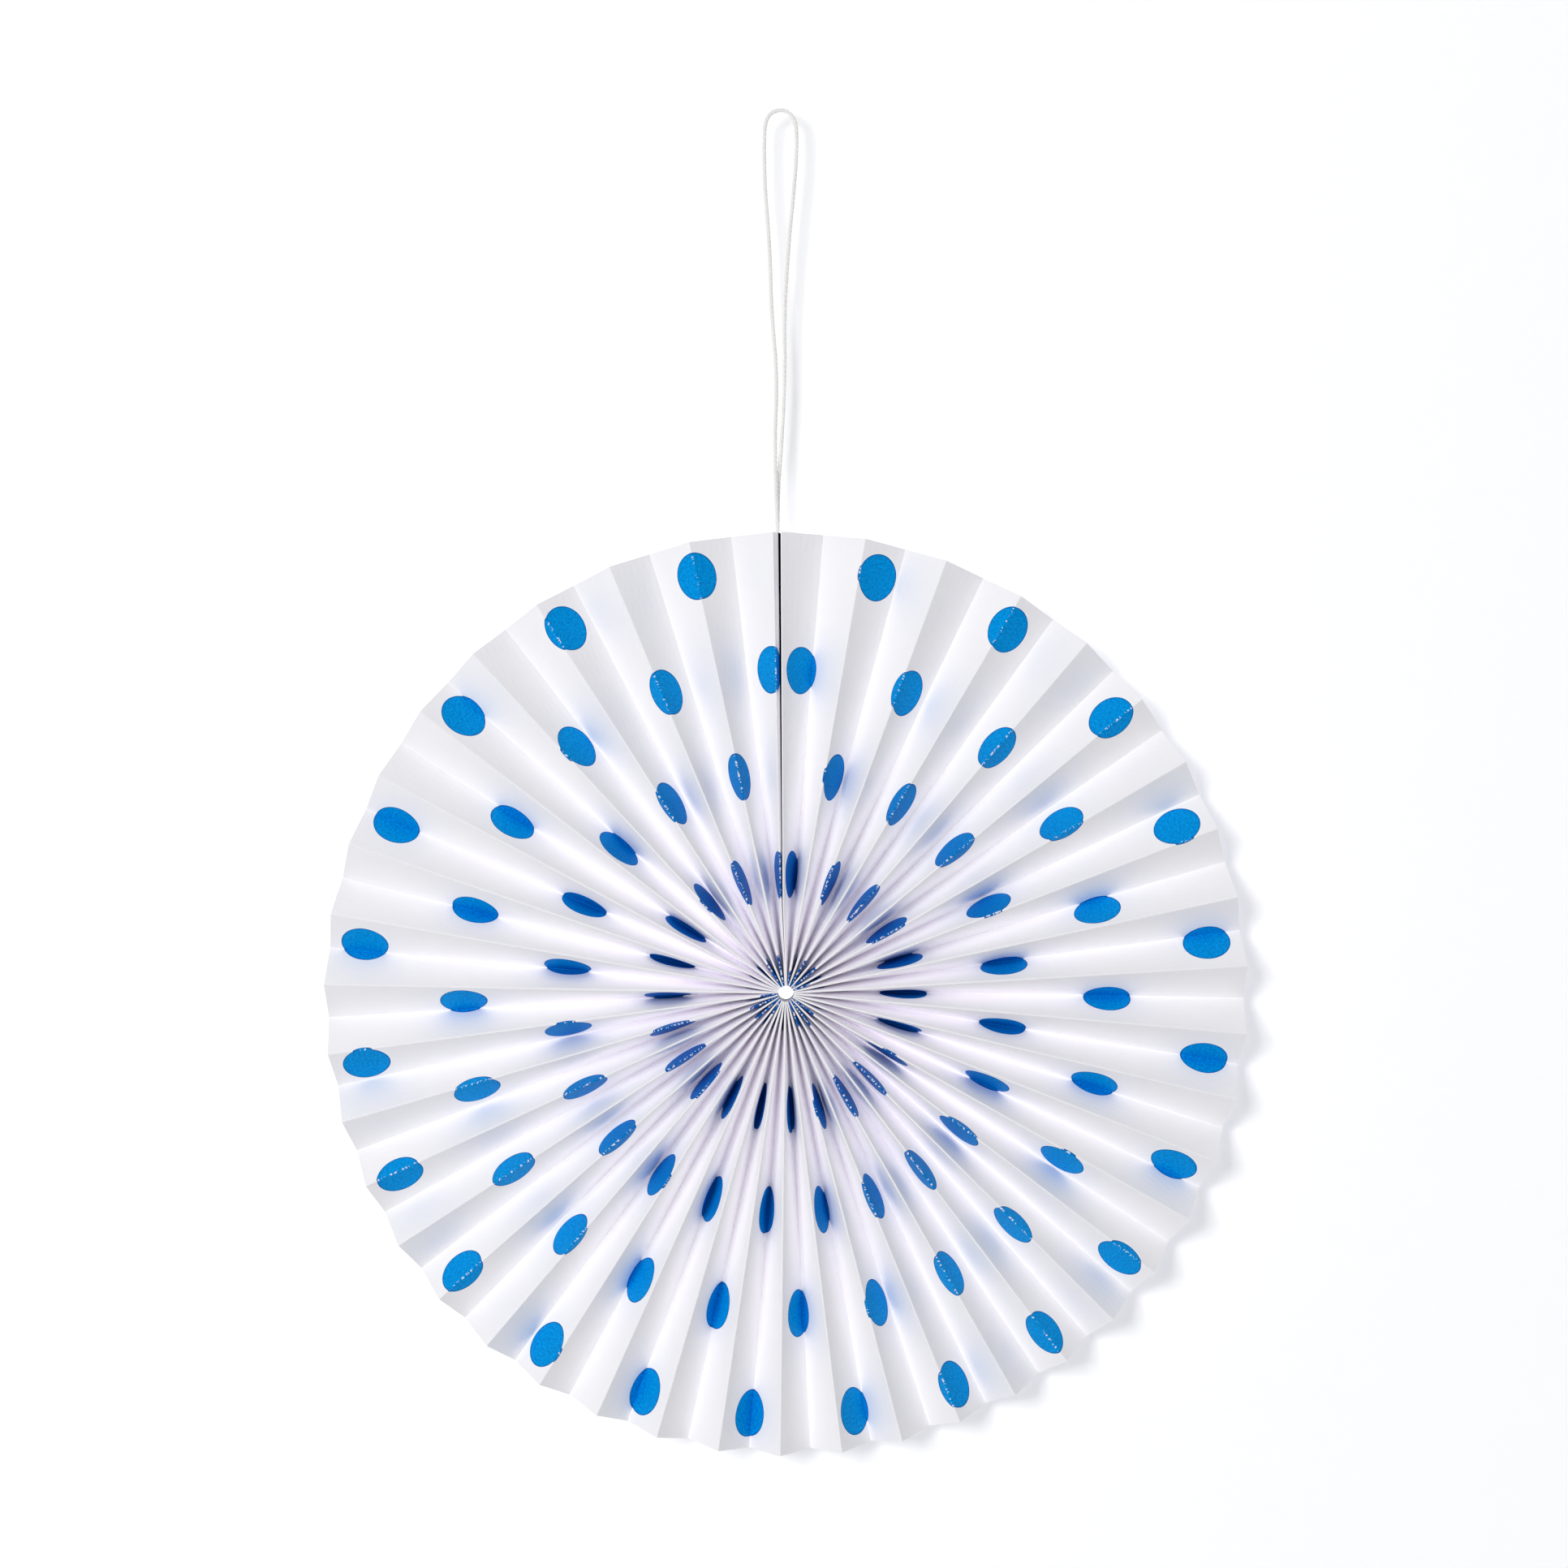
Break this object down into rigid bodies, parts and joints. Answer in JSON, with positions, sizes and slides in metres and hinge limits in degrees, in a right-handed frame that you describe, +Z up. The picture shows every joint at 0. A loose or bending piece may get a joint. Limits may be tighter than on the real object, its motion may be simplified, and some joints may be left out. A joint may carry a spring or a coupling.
{
  "type": "paper fan rosette",
  "caption": "Round hanging decoration of one knife-pleated paper strip opened into a ring, its two ends glued in a seam, with a looped cotton cord.",
  "frame": {"origin": "middle of the hub, halfway between the front and rear creases there", "axes": "+Z up to the hanging loop, -Y out of the printed front, +X to the right as the front shows it"},
  "size_m": [0.3, 0.0197, 0.4392],
  "materials": {
    "printed_paper": "smooth white paper with a slight sheen, printed on the front with blue dots",
    "white_thread": "twisted sewing thread",
    "cotton_cord": "soft twisted white cotton"
  },
  "bodies": {
    "root": {"pleated_paper": "printed_paper", "hub_thread": "white_thread", "hanging_cord": "cotton_cord"}
  },
  "joints": []
}
